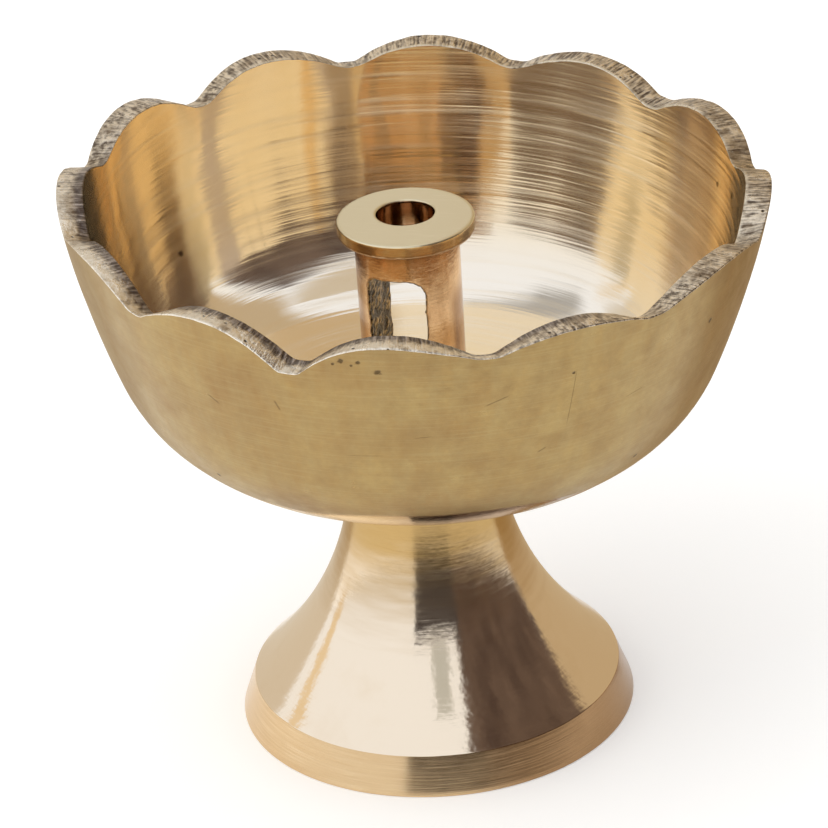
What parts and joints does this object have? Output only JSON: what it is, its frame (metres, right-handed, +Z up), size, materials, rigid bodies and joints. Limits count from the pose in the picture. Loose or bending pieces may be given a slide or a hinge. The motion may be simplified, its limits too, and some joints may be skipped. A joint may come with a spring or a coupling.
{
  "type": "butter lamp",
  "caption": "Footed brass lamp bowl with a scalloped rim and a flanged, windowed wick holder that screws down in the middle and stands a wick upright in melted butter or oil.",
  "frame": {"origin": "centre of the ring that the foot stands on", "axes": "+Z up along the foot, the stud and the wick holder; the wick holder's window looks along Y; the cast bowl leans towards +X"},
  "size_m": [0.0723, 0.0726, 0.0615],
  "materials": {
    "foot_brass": "mirror polished, with a satin bevelled band",
    "bowl_brass": "satin ground outside, turned inside, filed rim",
    "holder_brass": "polished, with as-cast window walls",
    "fastener_brass": "machined",
    "seal_leather": "oiled"
  },
  "bodies": {
    "stand": {"pedestal": "foot_brass", "bowl": "bowl_brass", "tie_stud": "fastener_brass", "clamp_nut": "fastener_brass", "clamp_washer": "fastener_brass"},
    "seal": {"seal_washer": "seal_leather"},
    "holder": {"wick_holder": "holder_brass"}
  },
  "joints": [
    {"name": "wick_holder_turn", "type": "hinge", "parent": "stand", "child": "seal", "pos_m": [0, 0, 0.0341], "axis": [0, 0, 1], "range_deg": [0, 1800]},
    {"name": "wick_holder_rise", "type": "slide", "parent": "seal", "child": "holder", "axis": [0, 0, 1], "range_m": [0, 0.004]}
  ],
  "couplings": [
    {"joint": "wick_holder_rise", "follows": "wick_holder_turn", "m_per_rad": 0.00012732}
  ]
}
